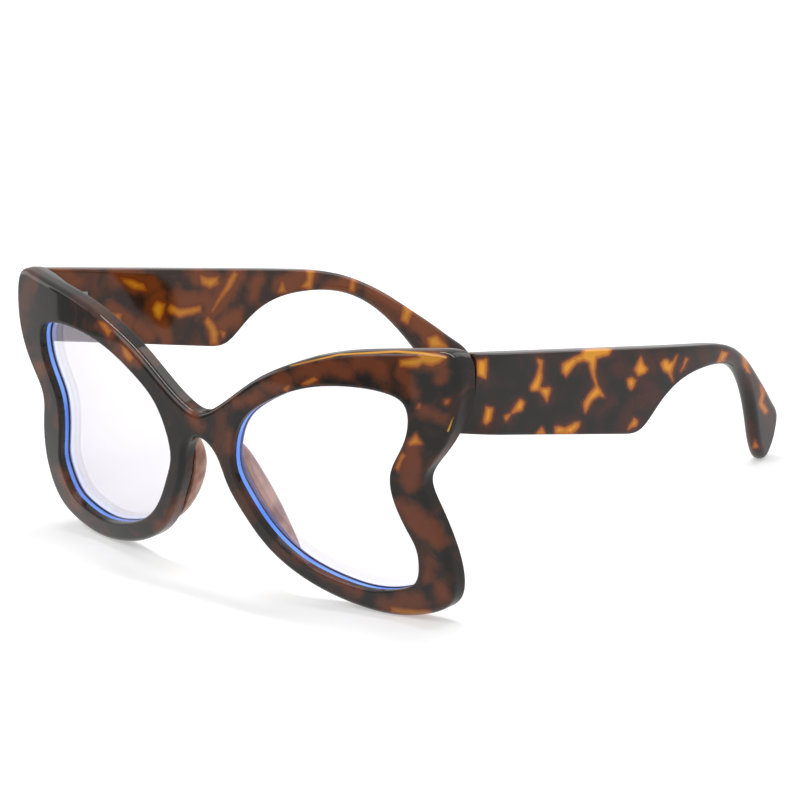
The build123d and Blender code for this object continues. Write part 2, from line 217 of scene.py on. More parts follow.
OUTER_CLOUDS_PX = [
    [(481, 356, 5), (482, 378, 7)], [(488, 412, 6), (487, 424, 6)], [(520, 402, 4), (506, 420, 4)],
    [(540, 356, 6), (541, 378, 6), (547, 398, 6)], [(566, 368, 6), (590, 355, 8), (612, 352, 6)],
    [(596, 368, 5), (600, 392, 7), (587, 408, 5)], [(558, 428, 6), (577, 425, 6)],
    [(632, 400, 4), (625, 430, 6)], [(618, 368, 7), (632, 372, 8), (646, 384, 9)],
    [(655, 392, 7), (642, 402, 8)], [(641, 352, 6), (650, 366, 8)],
    [(662, 358, 7), (676, 366, 7), (688, 360, 6)], [(700, 352, 4), (707, 358, 5)],
    [(724, 352, 5), (730, 356, 5)], [(742, 362, 5), (756, 384, 4)],
    [(761, 386, 3), (763, 400, 4), (768, 416, 4)], [(748, 420, 3), (752, 446, 4)],
    [(770, 410, 4), (776, 430, 4)], [(635, 420, 6), (632, 428, 6)], [(600, 412, 4), (612, 400, 5)],
]
OUTER_HIGHLIGHTS_PX = [[(462, 352.8, 0.9), (520, 350.6, 0.9), (600, 346.9, 1.1), (655, 344.2, 0.8)]]
INNER_FLECKS_PX = [
    [(121, 278), (132, 280), (143, 284), (146, 290), (135, 289), (125, 284)],
    [(157, 301), (165, 304), (163, 313), (160, 320), (155, 316), (152, 309)],
    [(168, 309), (171, 304), (176, 307), (180, 309), (189, 308), (200, 306), (201, 312), (187, 315),
     (179, 317), (171, 313)],
    [(234, 272), (238, 274), (231, 287), (221, 299), (212, 312), (217, 301), (224, 289), (229, 279)],
    [(200, 275), (208, 278), (218, 277), (218, 284), (210, 288), (202, 284)],
    [(208, 317), (214, 324), (218, 332), (217, 344), (211, 344), (210, 332), (205, 322)],
    [(221, 331), (225, 333), (223, 337)], [(113, 313), (121, 314), (120, 320), (115, 319)],
    [(282, 282), (286, 292), (279, 292)], [(306, 268), (315, 269), (311, 289), (302, 287), (307, 280)],
    [(352, 277), (356, 278), (354, 292), (349, 290)], [(404, 305), (413, 310), (408, 324), (401, 320)],
    [(427, 338), (437, 335), (447, 347), (430, 349)],
]
INNER_CLOUDS_PX = [
    [(60, 272, 8), (76, 280, 8)], [(118, 276, 10), (150, 286, 10)], [(112, 312, 9), (124, 322, 9)],
    [(157, 298, 8), (157, 318, 9), (166, 338, 6)], [(176, 300, 8), (205, 300, 9)],
    [(196, 276, 9), (216, 282, 9)], [(236, 276, 8), (224, 296, 9), (208, 316, 7)],
    [(216, 330, 8), (232, 318, 10)], [(257, 280, 6), (254, 296, 5)], [(284, 284, 8), (308, 276, 10)],
    [(330, 290, 7), (350, 284, 9)], [(372, 292, 7), (398, 306, 8)], [(412, 316, 8), (436, 340, 10)],
    [(140, 328, 6), (150, 336, 6)],
]
FRONT_FLECKS_PX = [
    [(400, 360), (418, 357), (419, 353), (435, 353), (446, 357), (440, 363), (432, 366), (423, 364),
     (418, 367), (400, 367)],
    [(445, 400), (449, 400), (448, 404), (445, 404)],
    [(416, 434), (418, 438), (422, 444), (410, 446), (408, 443)],
    [(402, 453), (405, 456), (402, 460), (398, 470), (396, 468), (400, 458)],
    [(307, 381), (314, 377), (317, 380), (308, 384), (303, 384)], [(284, 389), (289, 386), (287, 391)],
    [(122, 346), (127, 349), (133, 358), (130, 362), (124, 356)],
    [(99, 322), (105, 324), (111, 331), (108, 336)],
    [(391, 607), (404, 609), (431, 611), (432, 616), (404, 615), (391, 612)],
    [(419, 404), (420, 408), (417, 408)],
]
FRONT_CLOUDS_PX = [
    [(300, 372, 7), (331, 366, 9), (345, 374, 7)], [(360, 362, 8), (382, 368, 8)],
    [(402, 374, 8), (413, 392, 6)], [(408, 361, 9), (440, 362, 8)], [(443, 372, 5), (441, 380, 5)],
    [(424, 412, 5), (444, 418, 5)], [(413, 452, 9), (411, 480, 9)],
    [(400, 506, 6), (427, 527, 12), (440, 541, 7)], [(428, 562, 4), (427, 577, 4)],
    [(386, 604, 8), (414, 603, 9)], [(230, 436, 4), (229, 450, 3)], [(190, 412, 5), (198, 424, 5)],
    [(270, 386, 6), (284, 380, 6)], [(36, 366, 5), (42, 372, 4)], [(238, 402, 5), (256, 396, 6)],
    [(120, 345, 6), (134, 362, 6)], [(104, 328, 5), (110, 336, 5)],
    [(300, 556, 5), (330, 576, 5), (356, 592, 5)], [(340, 392, 4), (322, 392, 4)],
    [(252, 470, 4), (262, 500, 4)], [(440, 590, 6), (446, 598, 5)], [(160, 528, 5), (184, 500, 4)],
    [(60, 470, 4), (76, 505, 4)],
]
FRONT_HIGHLIGHTS_PX = [
    [(290, 366, 0.2), (339, 354.6, 0.6), (396, 351.5, 0.8), (424, 353.4, 0.9), (446, 357.5, 0.6)],
    [(454, 416, 0.1), (448, 431, 0.7)],
]

# How far the pattern's borders wobble, a depth that is outside everything, and how squarely a surface faces
# the photograph's view where the painted highlights show.
WOBBLE_PX = 2.0
OUTSIDE_PX = -60.0
HIGHLIGHT_FACING = 0.25

# Colours that the plastics share: the dark red border of a fleck, and the amber of a painted highlight.
FLECK_BORDER = (0.17, 0.030, 0.004, 1)
HIGHLIGHT_AMBER = (0.80, 0.36, 0.03, 1)
WHITE = (1, 1, 1, 1)

# Light: what the camera and what glossy surfaces see of the white surround, and the even light on all.
BACKDROP_WHITE = 1.12
REFLECTED_WHITE = 0.72
REFLECTED_DARK = 0.3
AMBIENT_LIGHT = 0.5

# The floor: its glow for the camera, and the distances in metres over which that takes over.
FLOOR_REACH = 4.0
FLOOR_GLOW_SHARE = 0.13
FLOOR_GLOW = 3.1
FLOOR_FADE_START = 0.2
FLOOR_FADE_END = 0.8

# The dark card: its arc in degrees from straight ahead, radius, height and lift off the floor in metres.
CARD_START = -64.0
CARD_END = -8.0
CARD_RADIUS = 0.40
CARD_HEIGHT = 0.16
CARD_LIFT = 0.001

# The lamps, which point at the object: name, place, width and depth in metres, and power in watts.
LAMPS = (
    ("overhead_strip", (0.0, 0.15, 1.1), 1.2, 0.1, 6.0),
    ("key_lamp", (-0.35, -0.75, 0.95), 0.7, 0.7, 3.0),
    ("rear_lamp", (0.1, 0.9, 0.8), 0.7, 0.7, 2.0),
    ("side_lamp", (-1.3, -0.35, 0.35), 0.8, 0.6, 1.5),
)


def cubic_through(points, leave=None, arrive=None, fine=60):
    """A cubic curve through points, fine steps to a span, as positions and unit directions.

    With chord lengths h between knots p, the second derivatives m solve
    h0 m0 + 2 (h0 + h1) m1 + h1 m2 = 6 ((p2 - p1) / h1 - (p1 - p0) / h0) at each knot. An open curve starts
    and ends along given directions, and without them the curve closes.
    """
    knots = np.array(points, float)
    count = len(knots)
    closed = leave is None
    after = np.roll(knots, -1, axis=0)
    spans = count if closed else count - 1
    chord = np.linalg.norm(after - knots, axis=1)
    slope = (after - knots) / chord[:, None]
    system = np.zeros((count, count))
    right = np.zeros((count, 2))
    for here in range(count):
        back = (here - 1) % count
        if closed or 0 < here < count - 1:
            system[here, back] = chord[back]
            system[here, here] = 2 * (chord[back] + chord[here])
            system[here, (here + 1) % count] = chord[here]
            right[here] = 6 * (slope[here] - slope[back])
    if not closed:
        system[0, :2] = 2 * chord[0], chord[0]
        right[0] = 6 * (slope[0] - np.array(leave))
        system[-1, -2:] = chord[-2], 2 * chord[-2]
        right[-1] = 6 * (np.array(arrive) - slope[-2])
    bend = np.linalg.solve(system, right)
    place = np.arange(spans * fine + (0 if closed else 1)) / fine
    span = np.minimum(place.astype(int), spans - 1)
    share = (place - span)[:, None]
    rest = 1 - share
    step = chord[span][:, None]
    ahead = (span + 1) % count
    curved = (rest ** 3 - rest) * bend[span] + (share ** 3 - share) * bend[ahead]
    where = rest * knots[span] + share * knots[ahead] + curved * step ** 2 / 6
    turning = (3 * share ** 2 - 1) * bend[ahead] - (3 * rest ** 2 - 1) * bend[span]
    along = slope[span] + turning * step / 6
    return where, along / np.linalg.norm(along, axis=1)[:, None]


def lengths_along(points):
    """Distance from the first point to each point, along the line through them."""
    return np.concatenate([[0], np.cumsum(np.linalg.norm(np.diff(points, axis=0), axis=1))])


def read_at(places, known, values):
    """Values at places, between values that are known at rising places, one column at a time."""
    return np.stack([np.interp(places, known, column) for column in values.T], axis=1)


def left_of(along):
    """The unit direction a quarter turn to the left of each direction."""
    return np.stack([-along[:, 1], along[:, 0]], axis=1)


def smooth_min(one, other, blend):
    """The lower of two heights, with the corner between them filled over a blend width."""
    near = np.maximum(blend - np.abs(one - other), 0) / blend
    return np.minimum(one, other) - near ** 2 * blend / 4


def smooth_max(one, other, blend):
    """The higher of two heights, with the corner between them filled over a blend width."""
    return -smooth_min(-one, -other, blend)


def dome(points, inset):
    """How far back the domed face lies: an arc in height, swept round an upright axis behind the front."""
    profile = FACE_PROFILE_RADIUS - inset
    fall = profile - np.sqrt(profile ** 2 - (points[..., 1] - BRIDGE_LEVEL) ** 2)
    sweep = FACE_SWEEP_RADIUS - inset - fall
    return FRONT_Y + FACE_SWEEP_RADIUS - np.sqrt(sweep ** 2 - points[..., 0] ** 2)


def turn_matrix(axis, degrees):
    """The turn by some degrees about an axis, as an array."""
    return np.array(Matrix.Rotation(radians(degrees), 3, axis))


def view_axes():
    """The view's right, top and back directions: a frame at its azimuth and elevation, then rolled."""
    azimuth = radians(VIEW_AZIMUTH)
    elevation = radians(VIEW_ELEVATION)
    roll = radians(VIEW_ROLL)
    back = np.array([sin(azimuth) * cos(elevation), -cos(azimuth) * cos(elevation), sin(elevation)])
    level = np.array([cos(azimuth), sin(azimuth), 0])
    upward = np.cross(back, level)
    return level * cos(roll) + upward * sin(roll), upward * cos(roll) - level * sin(roll), back


def photo_place(points):
    """Where points of the object lie in the photograph, in pixels across and down."""
    right, top, back = view_axes()
    spoke = points - (np.array(VIEW_EYE) + [0, FRONT_Y, 0])
    far = -spoke @ back
    across = VIEW_MIDDLE_PX + VIEW_FOCAL_PX * (spoke @ right) / far
    down = VIEW_MIDDLE_PX - VIEW_FOCAL_PX * (spoke @ top) / far
    return np.stack([across, down], axis=1)


def patch_depth(places, patches):
    """How deep places lie inside the nearest patch, in pixels, negative outside.

    The depth's size is the distance to the nearest side. A place is inside where a level line from it
    crosses the patch's sides an odd number of times.
    """
    depth = np.full(len(places), OUTSIDE_PX)
    for patch in patches:
        corners = np.array(patch, float)
        nearest = np.full(len(places), -OUTSIDE_PX)
        inside = np.zeros(len(places), bool)
        for start, end in zip(corners, np.roll(corners, -1, axis=0)):
            line = end - start
            spoke = places - start
            share = np.clip(spoke @ line / (line @ line), 0, 1)
            nearest = np.minimum(nearest, np.linalg.norm(spoke - share[:, None] * line, axis=1))
            if line[1]:
                crossed = (start[1] > places[:, 1]) != (end[1] > places[:, 1])
                inside ^= crossed & (spoke[:, 0] < line[0] * spoke[:, 1] / line[1])
        depth = np.maximum(depth, np.where(inside, nearest, -nearest))
    return depth


def stroke_depth(places, strokes):
    """How deep places lie inside the nearest stroke, in pixels, negative outside.

    A stroke's half width r changes evenly along each of its lines, so the depth is r - |place - foot|, with
    the foot of the place on the line between two of the stroke's points.
    """
    depth = np.full(len(places), OUTSIDE_PX)
    for stroke in strokes:
        for (x0, y0, r0), (x1, y1, r1) in zip(stroke[:-1], stroke[1:]):
            start = np.array([x0, y0], float)
            line = np.array([x1 - x0, y1 - y0], float)
            share = np.clip((places - start) @ line / (line @ line), 0, 1)
            foot = start + share[:, None] * line
            reach = r0 + (r1 - r0) * share
            depth = np.maximum(depth, reach - np.linalg.norm(places - foot, axis=1))
    return depth


def read(items, name):
    """A three-part property of a mesh's vertices, normals or faces, a row to each."""
    flat = np.zeros(len(items) * 3)
    items.foreach_get(name, flat)
    return flat.reshape(-1, 3)


def store(mesh, name, values):
    """Stores a number at each of a mesh's points, for its material to read."""
    layer = mesh.attributes.new(name, "FLOAT", "POINT")
    layer.data.foreach_set("value", values)


def lay_pattern(piece, flecks, clouds, lines):
    """Stores how deep a piece's points lie in the pattern's flecks and warm clouds, and in painted
    highlights.

    Flecks and clouds run through the plastic along the photograph's line of sight, as the real pattern runs
    through its sheet. The painted highlights are amber lines, only on the edge that faces that way.
    """
    mesh = piece.data
    places = photo_place(read(mesh.vertices, "co") / MM)
    facing = read(mesh.vertex_normals, "vector") @ view_axes()[2]
    highlight_depth = np.where(facing > HIGHLIGHT_FACING, stroke_depth(places, lines), OUTSIDE_PX)
    store(mesh, "fleck_depth", patch_depth(places, flecks))
    store(mesh, "cloud_depth", stroke_depth(places, clouds))
    store(mesh, "highlight_depth", highlight_depth)


# The left joint's own frame: x out of the temple's outer face, y along the temple, z up across it.
JOINT_TURN = turn_matrix("X", -JOINT_LEAN) @ turn_matrix("Z", TEMPLE_TOE_IN)
JOINT_CORNER = np.array([JOINT_SPREAD, FRONT_Y + JOINT_SETBACK, JOINT_LEVEL])


def from_joint(points):
    """Points of the left joint's frame in the object's frame."""
    return points @ JOINT_TURN.T + JOINT_CORNER


def joint_plane(points, corner_x, slant):
    """How far back an upright plane of the joint's frame lies, through a point on the joint line."""
    slope = radians(slant)
    normal = JOINT_TURN @ np.array([-sin(slope), cos(slope), 0])
    corner = from_joint(np.array([corner_x, corner_x * tan(radians(JOINT_SLANT)) - JOINT_ADVANCE, 0]))
    across = normal[0] * (points[..., 0] - corner[0]) + normal[2] * (points[..., 1] - corner[2])
    return corner[1] - across / normal[1]


def smooth_rise(values, low, high):
    """0 below low, 1 above high, and 3 s^2 - 2 s^3 at a share s of the way between."""
    share = np.clip((values - low) / (high - low), 0, 1)
    return share * share * (3 - 2 * share)


def leaned(points, depth):
    """Wall points of the front, moved where the end piece's walls aren't straight.

    From a little way behind the face, the top runs down at the temple's lean, to meet the temple's top edge,
    and the side flares outwards to a fixed amount.
    """
    behind = np.maximum(depth - dome(points, 0) - ROOF_START, 0)
    spread, level = points[..., 0], points[..., 1]
    top = smooth_rise(level, *ROOF_LEVELS) * smooth_rise(spread, *ROOF_SPREADS)
    side = smooth_rise(spread, *FLARE_SPREADS) * smooth_rise(level, *FLARE_FOOT_LEVELS)
    side = side * (1 - smooth_rise(level, *FLARE_TOP_LEVELS))
    moved = points.copy()
    moved[..., 1] -= top * behind * tan(radians(JOINT_LEAN))
    moved[..., 0] += side * smooth_rise(behind, 0.0, FLARE_LENGTH) * FLARE
    return moved


def rear(points):
    """How far back the front's rear face lies: an even rim, and the end piece where that is deeper."""
    rim = dome(points, RIM_THICKNESS)
    joint = joint_plane(points, 0, JOINT_SLANT)
    shoulder = joint_plane(points, -SHOULDER_REACH, JOINT_SLANT + SHOULDER_SLANT)
    foot_start = dome(np.array([HALF_WIDTH - FOOT_REACH, FOOT_LEVEL]), 0) + RIM_THICKNESS
    foot = foot_start + (points[..., 1] - FOOT_LEVEL) * tan(radians(FOOT_SLOPE))
    end_piece = smooth_min(smooth_min(joint, shoulder, END_PIECE_BLEND), foot, END_PIECE_BLEND)
    return smooth_max(rim, end_piece, END_PIECE_BLEND)


def front_curves():
    """Curves with their directions: the edge round both wings from under the bridge, and the left opening."""
    half = np.array(WING_SHARES) * FRONT_SIZE
    whole = np.concatenate([half, (half * [-1, 1])[-2:0:-1]])
    return cubic_through(whole), cubic_through(np.array(OPENING_SHARES) * FRONT_SIZE)


def outlines(columns, bridge_columns):
    """The wing's edge and the lens opening, read along lines from the lens's middle.

    The wing's edge runs from under the bridge round to its top at even steps of length, then down the
    middle of the bridge. The opening is read at the same angles about the lens's middle.
    """
    middle = np.array(LENS_MIDDLE_SHARES) * FRONT_SIZE
    (edge, edge_along), (opening, opening_along) = front_curves()
    bridge_top = np.array(WING_SHARES[-1]) * FRONT_SIZE
    stop = int(np.argmin(np.linalg.norm(edge - bridge_top, axis=1))) + 1
    edge, edge_along = edge[:stop], edge_along[:stop]
    edge[0, 0] = edge[-1, 0] = 0
    run = lengths_along(edge)
    steps = np.linspace(0, run[-1], columns + 1)
    wing = read_at(steps, run, edge)
    wing_in = left_of(read_at(steps, run, edge_along))
    wing_in /= np.linalg.norm(wing_in, axis=1)[:, None]
    wing_in[0] = 0, 1
    wing_in[-1] = 0, -1
    share = (np.arange(1, bridge_columns) / bridge_columns)[:, None]
    bridge = wing[-1] + (wing[0] - wing[-1]) * share
    opening_out = -left_of(opening_along)

    def angles(points):
        spoke = points - middle
        return np.unwrap(np.arctan2(spoke[:, 1], spoke[:, 0]))

    wanted = angles(np.concatenate([wing, bridge]))
    around = angles(opening)
    wanted += 2 * pi * np.round((around[0] - wanted[0]) / (2 * pi))
    turns = np.concatenate([around - 2 * pi, around, around + 2 * pi])
    lens = read_at(wanted, turns, np.tile(opening, (3, 1)))
    lens_out = read_at(wanted, turns, np.tile(opening_out, (3, 1)))
    lens_out /= np.linalg.norm(lens_out, axis=1)[:, None]
    return wing, wing_in, lens, lens_out, middle


def new_object(name, data):
    """A new object in the scene, at the origin."""
    made = bpy.data.objects.new(name, data)
    bpy.context.scene.collection.objects.link(made)
    return made


def mesh_piece(name, points, faces, sharp_degrees=32.0, merged=1e-7, collapsed=1e-8):
    """A new piece from points in millimetres and faces, merged at its seams, with its faces outwards.

    Points closer than the merged distance become one, and edges shorter than the collapsed one go.
    """
    mesh = bpy.data.meshes.new(name)
    mesh.from_pydata((points * MM).tolist(), [], faces)
    work = bmesh.new()
    work.from_mesh(mesh)
    bmesh.ops.remove_doubles(work, verts=work.verts, dist=merged)
    bmesh.ops.dissolve_degenerate(work, edges=work.edges, dist=collapsed)
    bmesh.ops.recalc_face_normals(work, faces=work.faces)
    work.to_mesh(mesh)
    work.free()
    mesh.polygons.foreach_set("use_smooth", np.ones(len(mesh.polygons), bool))
    mesh.set_sharp_from_angle(angle=radians(sharp_degrees))
    return new_object(name, mesh)


def strip_faces(columns, rows, column_faces, first_row, last_row):
    """Four-sided faces of a grid of columns by rows, a number of them across and between two rows up.

    The last column's faces lead back to the first column, and the last row's to the first row.
    """
    column, row = np.meshgrid(np.arange(column_faces), np.arange(first_row, last_row), indexing="ij")
    column, row = column.ravel(), row.ravel()
    ahead = (column + 1) % columns
    above = (row + 1) % rows
    corners = (column * rows + row, ahead * rows + row, ahead * rows + above, column * rows + above)
    return np.stack(corners, axis=1).tolist()


def quarter(steps):
    """Inset and drop shares of a rounded edge, 1 - cos and 1 - sin: down to its wall, and up to its face.

    Neither holds the end on the face, which the face's own rows give.
    """
    angle = np.linspace(0, pi / 2, steps + 1)[:-1]
    rising = list(zip(1 - np.cos(angle), 1 - np.sin(angle)))
    return rising[::-1], rising


def standing(flat, depth):
    """Points across and up the front, set back by a depth."""
    return np.stack([flat[..., 0], depth, flat[..., 1]], axis=-1)


def front_piece(columns=500, bridge_columns=12, face_steps=26, wall_steps=7, rear_steps=16, round_steps=7):
    """The front: a ring of sections round each lens opening, joined on the middle of the bridge.

    A section starts on the opening's front lip, crosses the domed face, rounds the outer edge, goes back
    along the wall, rounds the rear edge, crosses the rear face and returns through the lens groove. Insets
    run along the outlines' own normals. On the middle of the bridge only the two faces are left.
    """
    wing, wing_in, lens, lens_out, _ = outlines(columns, bridge_columns)
    to_wall, to_face = quarter(round_steps)
    bridge_share = (np.arange(1, bridge_columns) / bridge_columns)[:, None]

    def edge_at(amount):
        """The wing's edge inset by an amount, with the middle of the bridge cut short by the same."""
        along = wing + wing_in * amount
        middle = along[-1] + (along[0] - along[-1]) * bridge_share
        return np.concatenate([along, middle])

    rows = []

    def add(points, depth):
        rows.append(standing(points, depth))

    for share in np.linspace(0, 1, face_steps + 1):
        flat = (lens + lens_out * LIP_ROUND) * (1 - share) + edge_at(FRONT_EDGE_ROUND) * share
        add(flat, dome(flat, 0))
    front_rows = len(rows)
    for back, fall in to_wall:
        flat = edge_at(FRONT_EDGE_ROUND * back)
        add(flat, dome(flat, 0) + FRONT_EDGE_ROUND * fall)
    wall_top = rows[-1][:, 1]
    edge = edge_at(0)
    wall_end = rear(edge) - REAR_EDGE_ROUND
    for share in np.linspace(0, 1, wall_steps + 1)[1:-1]:
        depth = wall_top * (1 - share) + wall_end * share
        add(leaned(edge, depth), depth)
    for back, fall in to_face:
        flat = edge_at(REAR_EDGE_ROUND * back)
        flat = leaned(flat, rear(flat) - REAR_EDGE_ROUND * fall)
        add(flat, rear(flat) - REAR_EDGE_ROUND * fall)
    rear_start = len(rows)
    for share in np.linspace(0, 1, rear_steps + 1):
        flat = edge_at(REAR_EDGE_ROUND) * (1 - share) + (lens + lens_out * REAR_LIP_ROUND) * share
        flat = leaned(flat, rear(flat))
        add(flat, rear(flat))
    for back, fall in to_wall:
        flat = lens + lens_out * REAR_LIP_ROUND * back
        add(flat, rear(flat) - REAR_LIP_ROUND * fall)
    groove_back = LENS_SETBACK + LENS_THICKNESS + 2 * LENS_CLEARANCE
    add(lens, dome(lens, groove_back))
    add(lens + lens_out * LENS_BITE, dome(lens, groove_back))
    add(lens + lens_out * LENS_BITE, dome(lens, LENS_SETBACK))
    add(lens, dome(lens, LENS_SETBACK))
    for back, fall in to_face:
        flat = lens + lens_out * LIP_ROUND * back
        add(flat, dome(flat, 0) + LIP_ROUND * fall)
    grid = np.stack(rows, axis=1)
    total, section = grid.shape[:2]
    faces = strip_faces(total, section, total, 0, front_rows - 1)
    faces += strip_faces(total, section, columns, front_rows - 1, rear_start)
    faces += strip_faces(total, section, total, rear_start, section)
    points = grid.reshape(-1, 3)
    mirrored = [[corner + len(points) for corner in reversed(face)] for face in faces]
    both = np.concatenate([points, points * [-1, 1, 1]])
    return mesh_piece("front_shell", both, faces + mirrored)


def lens_piece(side, columns=300, bridge_columns=10, rings=22, crowding=0.8):
    """A lens and which of its faces are on its edge, which sits in the groove.

    Its front and rear faces are parallel to the domed face. Each ring is the opening's outline, moved
    outwards into the groove and drawn in towards the middle. The edge's rows step back from the front face
    to the rear face, and their share of the way is stored.
    """
    _, _, lens, lens_out, middle = outlines(columns, bridge_columns)
    edge = lens + lens_out * (LENS_BITE - LENS_CLEARANCE)
    front_inset = LENS_SETBACK + LENS_CLEARANCE
    outwards = np.linspace(0, 1, rings + 1)[:-1] ** crowding
    reaches = np.concatenate([outwards, np.ones(LENS_EDGE_ROWS + 1), outwards[::-1]])
    shares = np.concatenate([np.zeros(rings), np.linspace(0, 1, LENS_EDGE_ROWS + 1), np.ones(rings)])
    rows = []
    for reach, share in zip(reaches, shares):
        flat = middle + (edge - middle) * reach
        rows.append(standing(flat, dome(flat, front_inset + LENS_THICKNESS * share)))
    grid = np.stack(rows, axis=1)
    total, section = grid.shape[:2]
    faces = strip_faces(total, section, total, 0, section - 1)
    points = grid.reshape(-1, 3) * [side, 1, 1]
    piece = mesh_piece("lens_glass_left" if side > 0 else "lens_glass_right", points, faces)
    on_edge = np.abs(read(piece.data.polygons, "normal")[:, 1]) < LENS_EDGE_FACING
    places = read(piece.data.vertices, "co") / MM
    front_depth = dome(places[:, [0, 2]], front_inset)
    store(piece.data, "edge_share", np.clip((places[:, 1] - front_depth) / LENS_THICKNESS, 0, 1))
    return piece, on_edge


def pad_piece(side, columns=90, rings=120):
    """A nose pad: a long smooth swelling on the rear of the rim, which tapers into it at both ends.

    Its middle line is halfway between the wing's edge and the opening. With s from -1 to 1 along it, f its
    fullness and r its rise, the half width goes as (1 - |s|^f)^(1/f) and the height as (1 - s^2)^r. Its
    section is half of |across|^f + |height|^f = 1.
    """
    reach = -np.cos(np.linspace(0, pi, rings))
    levels = (PAD_TOP_LEVEL + PAD_FOOT_LEVEL + (PAD_TOP_LEVEL - PAD_FOOT_LEVEL) * reach) / 2
    (wing, _), (opening, _) = front_curves()
    wing = wing[wing[:, 0] > 0]
    edges = []
    for outline, shares in ((wing, WING_NASAL_SHARES), (opening, OPENING_NASAL_SHARES)):
        nasal = outline[(outline < np.array(shares) * FRONT_SIZE).all(axis=1)]
        ordered = nasal[np.argsort(nasal[:, 1])]
        edges.append(np.interp(levels, ordered[:, 1], ordered[:, 0]))
    middle = np.stack([(edges[0] + edges[1]) / 2, levels], axis=1)
    along = np.gradient(middle, axis=0)
    along /= np.linalg.norm(along, axis=1)[:, None]
    width = np.maximum(1 - np.abs(reach) ** PAD_FULLNESS, 0) ** (1 / PAD_FULLNESS) * PAD_WIDTH / 2
    height = np.maximum(1 - reach ** 2, 0) ** PAD_RISE * PAD_DEPTH
    turn = np.linspace(0, pi, columns)
    across = np.sign(np.cos(turn)) * np.abs(np.cos(turn)) ** (2 / PAD_FULLNESS)
    crown = np.sin(turn) ** (2 / PAD_FULLNESS)
    flat = middle[:, None, :] - left_of(along)[:, None, :] * (width[:, None] * across[None, :])[..., None]
    grid = standing(flat, dome(flat, RIM_THICKNESS) + height[:, None] * crown[None, :])
    faces = strip_faces(rings, columns, rings - 1, 0, columns)
    points = grid.reshape(-1, 3) * [side, 1, 1]
    return mesh_piece("pad_left" if side > 0 else "pad_right", points, faces)


def bend_inwards(points):
    """Joint-frame points of a straight slab, moved inwards beyond the leaning line where the tip bends.

    With u the distance past that line and d the depth under the outer face, the shift is that of an arc of
    radius R - d up to the bend's angle, R - d - sqrt((R - d)^2 - u^2), and of its tangent beyond.
    """
    lean = radians(TIP_BEND_LEAN)
    turn = radians(TIP_BEND_ANGLE)
    past = (points[..., 1] - TIP_BEND_START) * sin(lean) - (points[..., 2] - TEMPLE_TOP) * cos(lean)
    past = np.maximum(past, 0)
    radius = TIP_BEND_RADIUS + points[..., 0]
    on_arc = np.minimum(past, radius * sin(turn))
    shift = radius - np.sqrt(radius ** 2 - on_arc ** 2) + (past - on_arc) * tan(turn)
    bent = points.copy()
    bent[..., 0] -= shift
    return bent


def temple_sections(spacing, edge_steps=99):
    """Upper and lower edge points of the temple's sections, with their directions into the blade."""
    size = np.array([TEMPLE_LENGTH, -TEMPLE_DROP])
    top = np.array([0, TEMPLE_TOP])
    upper = np.array(UPPER_EDGE_SHARES) * size + top
    lower = np.array(LOWER_EDGE_SHARES) * size + top
    hook = np.array(HOOK_SHARES) * size + top
    leave = (upper[1] - upper[0]) / np.linalg.norm(upper[1] - upper[0])
    arrive = (lower[1] - lower[0]) / np.linalg.norm(lower[1] - lower[0])
    curve, curve_along = cubic_through([upper[1], *hook, lower[0]], leave, arrive)
    share = np.linspace(0, 1, edge_steps + 1)[:-1, None]
    edge = np.concatenate([upper[0] + (upper[1] - upper[0]) * share, curve,
                           lower[1] + (lower[0] - lower[1]) * share[::-1]])
    along = np.concatenate([np.tile(leave, (edge_steps, 1)), curve_along, np.tile(arrive, (edge_steps, 1))])
    run = lengths_along(edge)

    def places(chosen):
        target = np.array(chosen) * size + top
        return run[np.argmin(np.linalg.norm(edge[None] - target[:, None], axis=2), axis=1)]

    above = places([pair[0] for pair in SECTION_SHARES])
    below = places([pair[1] for pair in SECTION_SHARES])
    length = np.concatenate([[0], np.cumsum((np.abs(np.diff(above)) + np.abs(np.diff(below))) / 2)])
    steps = np.linspace(0, length[-1], int(length[-1] / spacing))
    above = np.interp(steps, length, above)
    below = np.interp(steps, length, below)
    into = -left_of(along)
    return (read_at(above, run, edge), read_at(above, run, into),
            read_at(below, run, edge), read_at(below, run, into))


